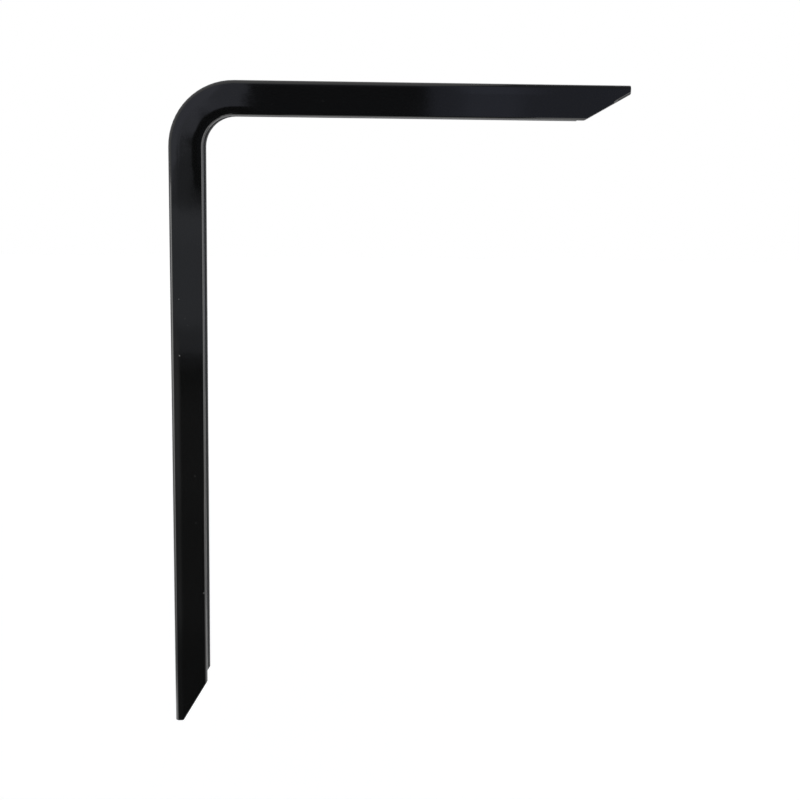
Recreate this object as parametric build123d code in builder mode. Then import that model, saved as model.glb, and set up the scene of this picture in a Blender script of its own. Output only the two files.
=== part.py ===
from build123d import *
from math import radians, sin
import os

# Shelf bracket: one steel sheet pressed into a U-shaped channel that turns a right angle.
# The web is the back of the channel. It lies on the wall and under the shelf.
# Two flanges stand up from the web and face into the angle, so the channel is open there.
# X runs out from the wall, Y across the bracket and Z up.
# The origin is midway between the two wall screws, on the wall face of the web.

# Overall sizes, in mm
wall_arm = 300.0  # from the shelf face down to the lower tip
shelf_arm = 203.0  # from the wall face out to the front tip
width = 18.0  # across the outside of the flanges
flange_depth = 15.4  # from the outside of the web to the flange rims
sheet = 1.5  # thickness of the steel

# Bends and edges
corner_radius = 29.0  # outside of the web, round the right angle
fold_inside = 0.2  # inside of the long fold between web and flange
rim_inside = 0.4  # rounding of a rim on the channel side
rim_flat = 0.05  # flat that is left along the top of a rim
end_softening = 0.3  # rounding of every edge of the two cut ends

# Ends: the flanges are cut down to a blunt tip
end_angle = 30.0  # between the cut and the arm
tip_depth = 3.8  # what the flanges keep at the tip, web included
tip_radius = 1.0  # between the slanted cut and the blunt tip

# Screw holes through the web, two to each arm
wall_hole_diameter = 5.5
wall_hole_spacing = 200.0
wall_hole_drop = 50.0  # from the shelf face down to the upper hole
shelf_hole_diameter = 4.5
shelf_hole_spacing = 110.0
shelf_hole_reach = 50.0  # from the wall face out to the inner hole

# Sizes and places that follow from those
fold_outside = fold_inside + sheet
rim_outside = sheet - rim_inside - rim_flat
end_rounding = min(end_softening, 0.9 * rim_inside)
shelf_face = wall_hole_drop + wall_hole_spacing / 2
lower_tip = shelf_face - wall_arm
shelf_holes_middle = shelf_hole_reach + shelf_hole_spacing / 2
cut_reach = 2 * flange_depth / sin(radians(end_angle))

section_plane = Plane(origin=(0, 0, lower_tip), x_dir=(0, -1, 0), z_dir=(0, 0, 1))
wall_screws = Plane(origin=(0, 0, 0), x_dir=(0, 0, 1), z_dir=(-1, 0, 0))
shelf_screws = Plane(origin=(shelf_holes_middle, 0, shelf_face))

with BuildPart() as bracket:
    # Line of the web's outside: up the wall, round the corner and out under the shelf
    with BuildLine(Plane.XZ) as spine:
        FilletPolyline(
            (0, lower_tip),
            (0, shelf_face),
            (shelf_arm, shelf_face),
            radius=corner_radius,
        )

    # Section of the channel: the sheet folded twice, with its rims towards the angle
    with BuildSketch(section_plane) as section:
        with BuildLine():
            FilletPolyline(
                (-width / 2, flange_depth),
                (-width / 2, 0),
                (width / 2, 0),
                (width / 2, flange_depth),
                radius=fold_outside,
            )
            offset(amount=sheet, side=Side.LEFT)
        make_face()
        rim_corners = section.vertices().group_by(Axis.Y)[-1].sort_by(Axis.X)
        fillet([rim_corners[0], rim_corners[-1]], rim_outside)
        rim_corners = section.vertices().group_by(Axis.Y)[-1].sort_by(Axis.X)
        fillet([rim_corners[1], rim_corners[-2]], rim_inside)
    sweep(path=spine.line)

    # Ends: the arms are trimmed to this outline, which passes well clear of the rest
    with BuildSketch(Plane.XZ) as trimmed:
        with BuildLine():
            wall_cut = PolarLine(
                start=(tip_depth, lower_tip),
                length=cut_reach,
                angle=90 - end_angle,
            )
            shelf_cut = PolarLine(
                start=(shelf_arm, shelf_face - tip_depth),
                length=cut_reach,
                angle=180 + end_angle,
            )
            Polyline(wall_cut @ 1, shelf_cut @ 1)
            Polyline(
                wall_cut @ 0,
                (-width, lower_tip),
                (-width, shelf_face + width),
                (shelf_arm, shelf_face + width),
                shelf_cut @ 0,
            )
        make_face()
        blunt_corners = [
            trimmed.vertices().sort_by_distance(cut @ 0)[0] for cut in (wall_cut, shelf_cut)
        ]
        fillet(blunt_corners, tip_radius)
    extrude(amount=width, both=True, mode=Mode.INTERSECT)
    fillet(bracket.edges(Select.NEW), end_rounding)

    # Screw holes
    with Locations(wall_screws):
        with GridLocations(wall_hole_spacing, 0, 2, 1):
            Hole(wall_hole_diameter / 2, depth=sheet)
    with Locations(shelf_screws):
        with GridLocations(shelf_hole_spacing, 0, 2, 1):
            Hole(shelf_hole_diameter / 2, depth=sheet)

bracket.part.label = "bracket"
os.makedirs("parts", exist_ok=True)
export_step(bracket.part, "parts/bracket.step")
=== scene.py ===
"""Looks of the shelf bracket: gloss black powder coat, soft studio light, white surroundings."""

import math

import bpy
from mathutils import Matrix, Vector


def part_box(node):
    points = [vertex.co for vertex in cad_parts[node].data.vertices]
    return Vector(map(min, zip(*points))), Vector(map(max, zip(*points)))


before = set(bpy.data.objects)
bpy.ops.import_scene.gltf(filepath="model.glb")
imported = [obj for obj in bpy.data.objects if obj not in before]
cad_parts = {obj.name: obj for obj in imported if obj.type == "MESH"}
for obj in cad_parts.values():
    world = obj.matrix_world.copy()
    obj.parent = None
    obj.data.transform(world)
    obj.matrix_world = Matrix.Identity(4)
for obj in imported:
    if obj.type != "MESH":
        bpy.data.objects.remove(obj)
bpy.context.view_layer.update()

# camera: place in metres, turn in degrees, lens and sensor in millimetres,
# and shift as a share of the picture
CAMERA_PLACE = (0.0605, -0.5359, 0.1248)
CAMERA_TURN = (79.446, -0.733, -1.62)
CAMERA_LENS = 53.098
CAMERA_SENSOR = 36.0
CAMERA_SHIFT = (0.075, -0.05)

# sizes of the bracket that the coating follows, in metres
BOX_LOW, BOX_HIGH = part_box("bracket")
SHELF_TIP = BOX_HIGH[0]
SHELF_FACE = BOX_HIGH[2]
WIDTH = BOX_HIGH[1] - BOX_LOW[1]
SHEET = 0.0015
FLANGE_DEPTH = 0.0154
CORNER_RADIUS = 0.029
TIP_DEPTH = 0.0038
END_ANGLE = math.radians(30)

# colours of the coating, and tints of the light
BLACK = (0.0035, 0.0036, 0.0036, 1)
# lighter black for the inside of the channel: painted light that brightens the far flange's
# inside face
PAINTED_LIGHT_BLACK = (0.024, 0.025, 0.026, 1)
DUST = (0.22, 0.22, 0.21, 1)
COOL = (0.80, 0.83, 1.0)
COOLER = (0.70, 0.75, 1.0)
MILD = (0.86, 0.90, 1.0)
NEUTRAL = (0.98, 0.98, 1.0)

# dust nibs on the front flange: x, z and radius
FRONT_NIBS = (
    (0.0040, 0.0538, 0.00019),
    (0.0040, 0.0280, 0.00028),
    (0.0065, 0.0448, 0.00009),
    (0.0079, 0.0420, 0.00009),
    (0.0106, -0.0510, 0.00011),
    (0.0104, -0.0284, 0.00011),
    (0.0678, 0.1415, 0.00011),
)
RIM_NICK = (0.0141, -0.0090, -0.0854)
RIM_NICK_RADIUS = 0.0006
# part of a mark's radius that it keeps in full
MARK_CORE = 0.6

# sparse nibs, off the front face: cells to a metre, and bounds of a nib as shares of a cell
NIB_CELLS = 126.0
NIB_BOUNDS = (0.015, 0.03)
# depth behind the front face that has none of them
FRONT_SKIN = 0.0004

# roughness of the coating
HAZE_SCALE = 60.0
HAZE_BOUNDS = (0.3, 0.7)
GLOSS_BOUNDS = (0.04, 0.065)
INSIDE_ROUGHNESS = 0.35
MARK_ROUGHNESS = 0.7
# how far into the sheet still counts as the inside of the channel
SKIN_DEPTH = 5e-5

# slow roll of the flange at the fold, from the sheet's depth to this one, and its slope
FOLD_ROLL_END = 0.0056
FOLD_ROLL_SLOPE = -0.055
# roll at the rim: how far up from the rim, its slope, and how far past the bend
RIM_ROLL_REACH = 0.0055
RIM_ROLL_SLOPE = 0.06
BEND_REACH = 0.022

# waviness of the flange, stronger near the bend, and orange peel of the coating
DENT_SCALE = 75.0
DENT_PHASE = (0.02, 0.0, 0.03)
DENT_SLOPE = 0.005
BEND_DENT_SLOPE = 0.022
PEEL_SCALE = 650.0
PEEL_SLOPE = 0.004

# light facet along the slanted cut at the shelf tip: it fades in from the first of two
# distances to the cut, fades out between two distances to the tip, and turns by its slope
CUT_TIP = (SHELF_TIP, 0.0, SHELF_FACE - TIP_DEPTH)
CUT_OUTWARD = (math.sin(END_ANGLE), 0.0, -math.cos(END_ANGLE))
FACET_ACROSS = (-0.0011, -0.0007)
FACET_ALONG = (0.0045, 0.0080)
FACET_SLOPE = 0.65

# the room as diffuse rays find it: dark in a cone round the photographer, light elsewhere
TO_PHOTOGRAPHER = (0.08, -1.0, -0.22)
DARK_CONE_OUTSIDE = math.radians(38)
DARK_CONE_INSIDE = math.radians(20)
WALL_GLOW = 0.40
DARK_GLOW = 0.004
BACK_GLOW = 0.55
CEILING_GLOW = 0.4

# the floor, in metres
FLOOR_REACH = 4.0
FLOOR_FRONT = -0.3
FLOOR_HEIGHT = -0.32
FLOOR_COLOR = (0.8, 0.8, 0.8, 1)
FLOOR_ROUGHNESS = 0.9
# its glow for the rays that show it, at two distances from the bracket
FLOOR_FADE = (0.4, 2.0)
FLOOR_GLOW = (0.35, 0.42)

# places of the glowing cards in front, behind and above
FRONT_CARD = -1.5
BACK_CARD = 1.5
CARD_TOP = 1.05

WHITE = (1, 1, 1, 1)


def add(tree, kind, inputs=None, **settings):
    """One node, with its settings and with numbers or sockets on its inputs."""
    made = tree.nodes.new("ShaderNode" + kind)
    for name, value in settings.items():
        setattr(made, name, value)
    for name, value in (inputs or {}).items():
        if isinstance(value, bpy.types.NodeSocket):
            tree.links.new(value, made.inputs[name])
        else:
            made.inputs[name].default_value = value
    return made


def calc(tree, operation, first, second=0.0):
    return add(tree, "Math", {0: first, 1: second}, operation=operation).outputs[0]


def vector_calc(tree, operation, first, second=(0.0, 0.0, 0.0)):
    return add(tree, "VectorMath", {0: first, 1: second}, operation=operation).outputs["Vector"]


def scaled(tree, vector, factor):
    made = add(tree, "VectorMath", {0: vector, "Scale": factor}, operation="SCALE")
    return made.outputs["Vector"]


def blend(tree, value, low, high, at_low=0.0, at_high=1.0):
    """Smooth step of a value from one bound to the other."""
    inputs = {
        "Value": value,
        "From Min": low,
        "From Max": high,
        "To Min": at_low,
        "To Max": at_high,
    }
    made = add(tree, "MapRange", inputs, interpolation_type="SMOOTHSTEP")
    return made.outputs["Result"]


def make_camera():
    lens = bpy.data.cameras.new("camera")
    lens.sensor_width = CAMERA_SENSOR
    lens.lens = CAMERA_LENS
    lens.shift_x, lens.shift_y = CAMERA_SHIFT
    camera = bpy.data.objects.new("camera", lens)
    camera.location = CAMERA_PLACE
    camera.rotation_euler = [math.radians(turn) for turn in CAMERA_TURN]
    bpy.context.scene.collection.objects.link(camera)
    bpy.context.scene.camera = camera


def channel_place(tree, position):
    """Depth below the web's outside, way along it past the bend, and direction of depth."""
    axes = add(tree, "SeparateXYZ", {"Vector": position}).outputs
    below_shelf = calc(tree, "SUBTRACT", SHELF_FACE, axes["Z"])
    short_x = calc(tree, "MAXIMUM", calc(tree, "SUBTRACT", CORNER_RADIUS, axes["X"]), 0.0)
    short_z = calc(tree, "MAXIMUM", calc(tree, "SUBTRACT", CORNER_RADIUS, below_shelf), 0.0)
    short = add(tree, "CombineXYZ", {"X": short_x, "Z": calc(tree, "MULTIPLY", short_z, -1.0)})
    length = add(tree, "VectorMath", {0: short.outputs["Vector"]}, operation="LENGTH")
    depth = calc(tree, "SUBTRACT", CORNER_RADIUS, length.outputs["Value"])
    inward = vector_calc(tree, "NORMALIZE", short.outputs["Vector"])
    past_bend = calc(
        tree, "SUBTRACT", calc(tree, "MAXIMUM", axes["X"], below_shelf), CORNER_RADIUS
    )
    return axes["Y"], depth, past_bend, inward


def cut_facet(tree, position):
    """How far the coating turns down to the cut, along the slanted end at the shelf tip."""
    from_tip = vector_calc(tree, "SUBTRACT", position, CUT_TIP)
    off_cut = add(tree, "VectorMath", {0: from_tip, 1: CUT_OUTWARD}, operation="DOT_PRODUCT")
    near_cut = blend(tree, off_cut.outputs["Value"], *FACET_ACROSS, 0.0, FACET_SLOPE)
    out_from_wall = add(tree, "SeparateXYZ", {"Vector": position}).outputs["X"]
    short_of_tip = calc(tree, "SUBTRACT", SHELF_TIP, out_from_wall)
    near_tip = blend(tree, short_of_tip, *FACET_ALONG, 1.0, 0.0)
    return calc(tree, "MULTIPLY", near_cut, near_tip)


def pressed_normal(tree, position, depth, past_bend, inward):
    """The flange rolls off at the fold and at the inside of the bend, and is a little wavy."""
    fold = blend(tree, depth, SHEET, FOLD_ROLL_END, FOLD_ROLL_SLOPE, 0.0)
    near_bend = blend(tree, past_bend, 0.0, BEND_REACH, 1.0, 0.0)
    rim = blend(tree, depth, FLANGE_DEPTH - RIM_ROLL_REACH, FLANGE_DEPTH, 0.0, RIM_ROLL_SLOPE)
    slope = calc(tree, "ADD", fold, calc(tree, "MULTIPLY", rim, near_bend))
    normal = add(tree, "NewGeometry").outputs["Normal"]
    normal = vector_calc(tree, "ADD", normal, scaled(tree, inward, slope))
    facet = cut_facet(tree, position)
    normal = vector_calc(tree, "ADD", normal, scaled(tree, CUT_OUTWARD, facet))
    pressed = vector_calc(tree, "ADD", position, DENT_PHASE)
    dents = add(tree, "TexNoise", {"Vector": pressed, "Scale": DENT_SCALE, "Detail": 1.0})
    peel = add(tree, "TexNoise", {"Vector": position, "Scale": PEEL_SCALE, "Detail": 1.0})
    extra = calc(tree, "MULTIPLY", near_bend, BEND_DENT_SLOPE)
    dent_slope = calc(tree, "ADD", extra, DENT_SLOPE)
    for noise, slope in ((dents, dent_slope), (peel, PEEL_SLOPE)):
        wave = vector_calc(tree, "SUBTRACT", noise.outputs["Color"], (0.5, 0.5, 0.5))
        normal = vector_calc(tree, "ADD", normal, scaled(tree, wave, slope))
    return vector_calc(tree, "NORMALIZE", normal)


def spot(tree, position, centre, radius):
    """One within a small round mark, falling to nought at its radius."""
    far = add(tree, "VectorMath", {0: position, 1: centre}, operation="DISTANCE")
    return blend(tree, far.outputs["Value"], MARK_CORE * radius, radius, 1.0, 0.0)


def dust_mask(tree, position, across):
    """Dust nibs in the coating: the larger ones on the front face, sparse ones elsewhere."""
    front = -WIDTH / 2
    mask = 0.0
    for x, z, radius in FRONT_NIBS:
        mask = calc(tree, "MAXIMUM", spot(tree, position, (x, front, z), radius), mask)
    cells = add(tree, "TexVoronoi", {"Vector": position, "Scale": NIB_CELLS})
    nibs = blend(tree, cells.outputs["Distance"], *NIB_BOUNDS, 1.0, 0.0)
    elsewhere = calc(tree, "GREATER_THAN", across, front + FRONT_SKIN)
    return calc(tree, "MAXIMUM", calc(tree, "MULTIPLY", nibs, elsewhere), mask)


def coated_steel():
    """Gloss black coating, rougher inside the channel, with a lighter black there that is
    painted light.
    """
    material = bpy.data.materials.new("coated_steel")
    material.use_nodes = True
    tree = material.node_tree
    position = add(tree, "TexCoord").outputs["Object"]
    across, depth, past_bend, inward = channel_place(tree, position)
    dust = dust_mask(tree, position, across)
    nick = spot(tree, position, RIM_NICK, RIM_NICK_RADIUS)
    marks = calc(tree, "MAXIMUM", dust, nick)
    off_middle = calc(tree, "ABSOLUTE", across)
    between = calc(tree, "LESS_THAN", off_middle, WIDTH / 2 - SHEET + SKIN_DEPTH)
    behind_web = calc(tree, "GREATER_THAN", depth, SHEET / 2)
    inside = calc(tree, "MULTIPLY", between, behind_web)
    haze = add(tree, "TexNoise", {"Vector": position, "Scale": HAZE_SCALE, "Detail": 2.0})
    gloss = blend(tree, haze.outputs[0], *HAZE_BOUNDS, *GLOSS_BOUNDS)
    rough = calc(tree, "ADD", gloss, calc(tree, "MULTIPLY", inside, INSIDE_ROUGHNESS))
    rough = calc(tree, "MAXIMUM", rough, marks)
    # inside the channel the black turns lighter: painted light on the far flange's inside face
    black = add(tree, "Mix", {"Factor": inside, "A": BLACK, "B": PAINTED_LIGHT_BLACK}, data_type="RGBA")
    black = black.outputs["Result"]
    color = add(tree, "Mix", {"Factor": dust, "A": black, "B": DUST}, data_type="RGBA")
    shader = tree.nodes["Principled BSDF"]
    tree.links.new(color.outputs["Result"], shader.inputs["Base Color"])
    rough = calc(tree, "MINIMUM", rough, MARK_ROUGHNESS)
    tree.links.new(rough, shader.inputs["Roughness"])
    normal = pressed_normal(tree, position, depth, past_bend, inward)
    tree.links.new(normal, shader.inputs["Normal"])
    return material


def seen_ray(tree):
    """One for rays that show the surroundings: from the camera, mirrored or through glass."""
    path = add(tree, "LightPath").outputs
    seen = calc(tree, "MAXIMUM", path["Is Camera Ray"], path["Is Glossy Ray"])
    return calc(tree, "MAXIMUM", seen, path["Is Transmission Ray"])


def make_world():
    """Room light for diffuse rays, and plain white for the rays that show the surroundings."""
    world = bpy.data.worlds.new("studio")
    bpy.context.scene.world = world
    world.use_nodes = True
    tree = world.node_tree
    way = add(tree, "TexCoord").outputs["Generated"]
    axes = add(tree, "SeparateXYZ", {"Vector": way}).outputs
    front = tuple(Vector(TO_PHOTOGRAPHER).normalized())
    toward = add(tree, "VectorMath", {0: way, 1: front}, operation="DOT_PRODUCT")
    cone = (math.cos(DARK_CONE_OUTSIDE), math.cos(DARK_CONE_INSIDE))
    walls = blend(tree, toward.outputs["Value"], *cone, WALL_GLOW, DARK_GLOW)
    back = blend(tree, axes["Y"], 0.0, 0.5, 0.0, BACK_GLOW)
    ceiling = blend(tree, axes["Z"], 0.5, 1.0, 0.0, CEILING_GLOW)
    room = calc(tree, "ADD", calc(tree, "ADD", walls, back), ceiling)
    strength = add(tree, "Mix", {"Factor": seen_ray(tree), "A": room, "B": 1.0})
    background = tree.nodes["Background"]
    background.inputs["Color"].default_value = WHITE
    tree.links.new(strength.outputs["Result"], background.inputs["Strength"])


def make_lamp(name, place, aim, size, glow):
    """Area lamp whose surface is as bright as glow."""
    light = bpy.data.lights.new(name, "AREA")
    light.shape = "RECTANGLE"
    light.size, light.size_y = size
    light.energy = glow * math.pi * size[0] * size[1]
    lamp = bpy.data.objects.new(name, light)
    lamp.location = place
    lamp.rotation_euler = (Vector(aim) - Vector(place)).to_track_quat("-Z", "Y").to_euler()
    lamp.visible_camera = False
    bpy.context.scene.collection.objects.link(lamp)


def box_edges(left, right, low, high, soft):
    """Edges of an upright rectangle, as ROOM_PATCHES has them."""
    return ((1, 0, left, soft), (-1, 0, -right, soft), (0, 1, low, soft), (0, -1, -high, soft))


# Light parts of the room in front, as the front flange mirrors them: glow, tint and edges.
# Where they overlap, their light adds up. Each edge is (across, up, bound, softness), and
# the part is lit where across * X + up * Z is over the bound, in metres.
ROOM_PATCHES = (
    (0.51, COOL, box_edges(-0.9, -0.040, 0.15, 1.0, 0.010)),
    (0.20, COOL, box_edges(-0.9, -0.102, 0.15, 1.0, 0.016)),
    (0.06, NEUTRAL, box_edges(-0.9, 0.0, -0.52, -0.30, 0.060)),
    (0.035, NEUTRAL, box_edges(-0.9, 0.0, -0.76, -0.52, 0.060)),
    (0.03, COOLER, box_edges(-0.03, 0.75, 0.0, 1.05, 0.020)),
    (0.35, MILD, box_edges(-0.05, 0.275, 0.40, 1.05, 0.050)),
    (0.35, COOL, (*box_edges(-0.180, 0.0, 0.02, 0.15, 0.012), (-1.2, 1, 0.286, 0.014))),
    (0.36, COOL, (*box_edges(-0.9, -0.180, 0.02, 0.15, 0.012), (-0.27, 1, 0.152, 0.012))),
    (0.26, MILD, box_edges(-0.9, -0.128, 0.01, 0.15, 0.010)),
    (0.12, MILD, box_edges(-0.9, -0.22, 0.01, 0.15, 0.040)),
    (0.07, MILD, box_edges(-0.128, -0.06, 0.008, 0.035, 0.010)),
    (0.48, MILD, box_edges(-0.9, -0.06, -0.195, 0.008, 0.010)),
    (0.06, MILD, box_edges(-0.9, -0.06, -0.05, 0.008, 0.015)),
    (0.31, MILD, box_edges(-0.9, -0.06, -0.243, -0.195, 0.008)),
    (0.08, MILD, box_edges(-0.9, -0.06, -0.269, -0.243, 0.010)),
    (0.13, NEUTRAL, box_edges(-0.9, -0.22, -0.50, -0.243, 0.050)),
    (0.16, NEUTRAL, box_edges(-0.9, -0.23, -0.75, -0.243, 0.050)),
    (0.05, NEUTRAL, box_edges(-0.9, -0.24, -1.0, -0.70, 0.050)),
    (0.30, COOLER, box_edges(0.266, 0.70, 0.10, 1.0, 0.012)),
    (0.14, COOLER, box_edges(0.326, 0.42, 0.10, 1.0, 0.018)),
    (0.10, COOLER, box_edges(0.326, 0.46, 0.235, 1.0, 0.018)),
)

# The same for the room behind, as the back flange mirrors it, and for the one above.
BACK_PATCHES = (
    (0.24, MILD, box_edges(-1.6, 1.6, -1.3, 1.5, 0.05)),
    (0.15, MILD, box_edges(0.12, 1.6, -1.3, 0.10, 0.04)),
    (0.60, MILD, box_edges(0.12, 1.6, -0.28, 0.10, 0.05)),
    (0.20, MILD, box_edges(-0.9, -0.02, -0.52, -0.16, 0.025)),
    (0.22, MILD, box_edges(-0.9, 0.02, 0.12, 1.0, 0.015)),
    (0.16, MILD, box_edges(0.30, 0.90, 0.10, 1.0, 0.015)),
)
CEILING_PATCHES = ((0.25, MILD, box_edges(0.30, 2.5, 0.0, 2.0, 0.05)),)


def make_card(name, corners, patches):
    """Card, unseen by the camera, that glows in soft-edged patches."""
    mesh = bpy.data.meshes.new(name)
    mesh.from_pydata(corners, [], [(0, 1, 2, 3)])
    card = bpy.data.objects.new(name, mesh)
    card.visible_camera = False
    card.visible_shadow = False
    bpy.context.scene.collection.objects.link(card)
    material = bpy.data.materials.new(name)
    material.use_nodes = True
    tree = material.node_tree
    place = add(tree, "NewGeometry").outputs["Position"]
    axes = add(tree, "SeparateXYZ", {"Vector": place}).outputs
    light = None
    for glow, tint, edges in patches:
        mask = glow
        for across, up, bound, soft in edges:
            along_x = calc(tree, "MULTIPLY", axes["X"], across)
            along_z = calc(tree, "MULTIPLY", axes["Z"], up)
            value = calc(tree, "ADD", along_x, along_z)
            lit = blend(tree, value, bound - soft, bound + soft)
            mask = calc(tree, "MULTIPLY", lit, mask)
        patch = scaled(tree, tint, mask)
        light = patch if light is None else vector_calc(tree, "ADD", light, patch)
    tree.nodes.remove(tree.nodes["Principled BSDF"])
    emission = add(tree, "Emission", {"Color": light, "Strength": 1.0})
    tree.links.new(emission.outputs[0], tree.nodes["Material Output"].inputs["Surface"])
    mesh.materials.append(material)
    return card


def upright_corners(left, right, low, high, y):
    return [(left, y, low), (left, y, high), (right, y, high), (right, y, low)]


def level_corners(left, right, front, back, z):
    return [(left, front, z), (left, back, z), (right, back, z), (right, front, z)]


def make_cards():
    """Cards in front, above and behind. The one behind is hidden from diffuse rays."""
    front = upright_corners(-0.95, 0.75, -1.05, CARD_TOP, FRONT_CARD)
    make_card("room_card", front, ROOM_PATCHES)
    above = level_corners(0.30, 2.4, FRONT_CARD, 0.3, CARD_TOP)
    make_card("ceiling_card", above, CEILING_PATCHES)
    behind = upright_corners(-1.6, 1.6, -1.3, 1.5, BACK_CARD)
    make_card("back_card", behind, BACK_PATCHES).visible_diffuse = False


def make_floor():
    """Plain pale floor, lifted towards white for the rays that show it."""
    mesh = bpy.data.meshes.new("floor")
    corners = [
        (-FLOOR_REACH, FLOOR_FRONT, FLOOR_HEIGHT),
        (FLOOR_REACH, FLOOR_FRONT, FLOOR_HEIGHT),
        (FLOOR_REACH, FLOOR_REACH, FLOOR_HEIGHT),
        (-FLOOR_REACH, FLOOR_REACH, FLOOR_HEIGHT),
    ]
    mesh.from_pydata(corners, [], [(0, 1, 2, 3)])
    floor = bpy.data.objects.new("floor", mesh)
    bpy.context.scene.collection.objects.link(floor)
    material = bpy.data.materials.new("white_floor")
    material.use_nodes = True
    tree = material.node_tree
    shader = tree.nodes["Principled BSDF"]
    shader.inputs["Base Color"].default_value = FLOOR_COLOR
    shader.inputs["Roughness"].default_value = FLOOR_ROUGHNESS
    shader.inputs["Specular IOR Level"].default_value = 0.0
    shader.inputs["Emission Color"].default_value = WHITE
    place = add(tree, "NewGeometry").outputs["Position"]
    far = add(tree, "VectorMath", {0: place}, operation="LENGTH").outputs["Value"]
    inputs = {
        "Value": far,
        "From Min": FLOOR_FADE[0],
        "From Max": FLOOR_FADE[1],
        "To Min": FLOOR_GLOW[0],
        "To Max": FLOOR_GLOW[1],
    }
    fade = add(tree, "MapRange", inputs)
    glow = calc(tree, "MULTIPLY", seen_ray(tree), fade.outputs["Result"])
    tree.links.new(glow, shader.inputs["Emission Strength"])
    mesh.materials.append(material)


def make_lamps():
    """Soft lamps: name, place, aim and size in metres, and glow."""
    make_lamp("softbox_left", (-1.4, -0.62, -0.60), (0, 0, -0.60), (0.9, 1.3), 3.5)
    make_lamp("softbox_right", (1.27, -0.60, 0.0), (0, 0, 0), (1.1, 1.6), 2.3)
    make_lamp("softbox_front", (0.87, -1.48, -0.36), (0.87, 0, -0.36), (0.84, 0.86), 2.0)
    make_lamp("softbox_high", (0.98, -1.48, 0.30), (0.98, 0, 0.30), (0.62, 0.46), 2.0)
    make_lamp("softbox_low", (0.50, -1.47, -1.05), (0.50, 0, -1.05), (0.96, 1.1), 0.9)
    make_lamp("table_glow", (0.1, 0.0, -0.315), (0.1, 0.0, 0.0), (0.9, 0.5), 1.8)


make_camera()
make_world()
make_floor()
make_cards()
make_lamps()
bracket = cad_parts["bracket"]
bracket.data.materials.clear()
bracket.data.materials.append(coated_steel())

scene = bpy.context.scene
scene.view_settings.view_transform = "Standard"
